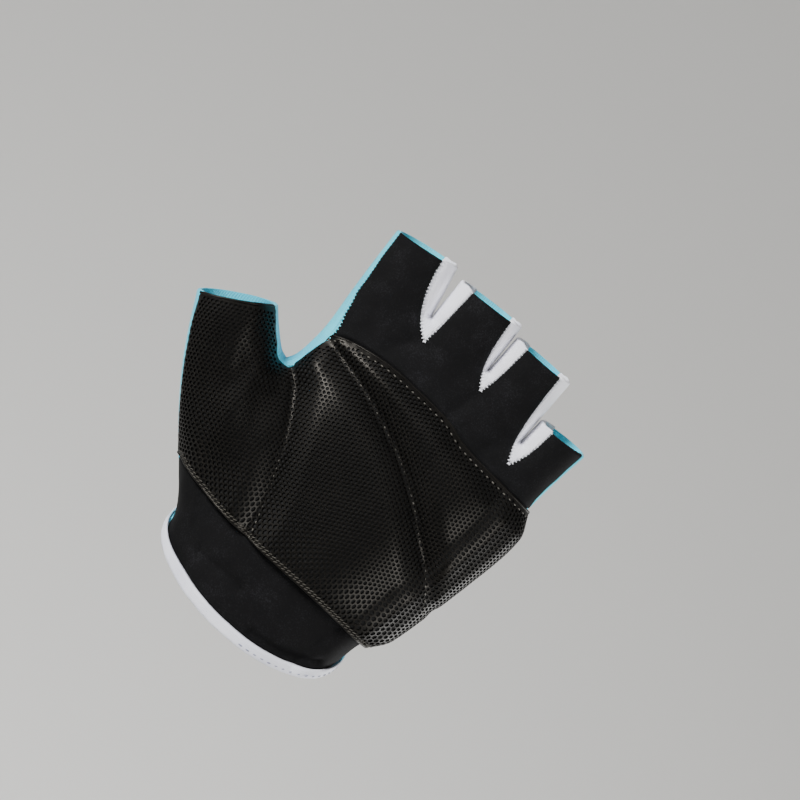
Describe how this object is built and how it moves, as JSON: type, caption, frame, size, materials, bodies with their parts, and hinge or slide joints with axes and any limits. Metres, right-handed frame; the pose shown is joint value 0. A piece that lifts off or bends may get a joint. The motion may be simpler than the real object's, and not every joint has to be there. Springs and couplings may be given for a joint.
{
  "type": "fingerless cycling glove",
  "caption": "Fingerless glove for the left hand, hollow and shaped as worn, with a padded perforated palm, stretch back, finger gussets and a bound cuff.",
  "frame": {"origin": "centre of the wrist opening, between the two ends of its hem", "axes": "+Z from the wrist to the fingertips, -Y out of the palm, +X towards the little finger"},
  "size_m": [0.1234, 0.0509, 0.1296],
  "materials": {
    "perforated_palm": "black perforated synthetic leather, semi-matt, over soft padding",
    "black_suede": "black synthetic suede, matt",
    "aqua_lycra": "aqua stretch knit with a slight sheen",
    "white_gusset": "white stretch knit, matt",
    "white_tape": "white elastic binding tape, matt"
  },
  "bodies": {
    "root": {"palm_pad_panel": "perforated_palm", "finger_panel": "black_suede", "heel_panel": "black_suede", "back_panel": "aqua_lycra", "fourchette_index_middle": "white_gusset", "fourchette_middle_ring": "white_gusset", "fourchette_ring_little": "white_gusset", "cuff_binding": "white_tape"}
  },
  "joints": []
}
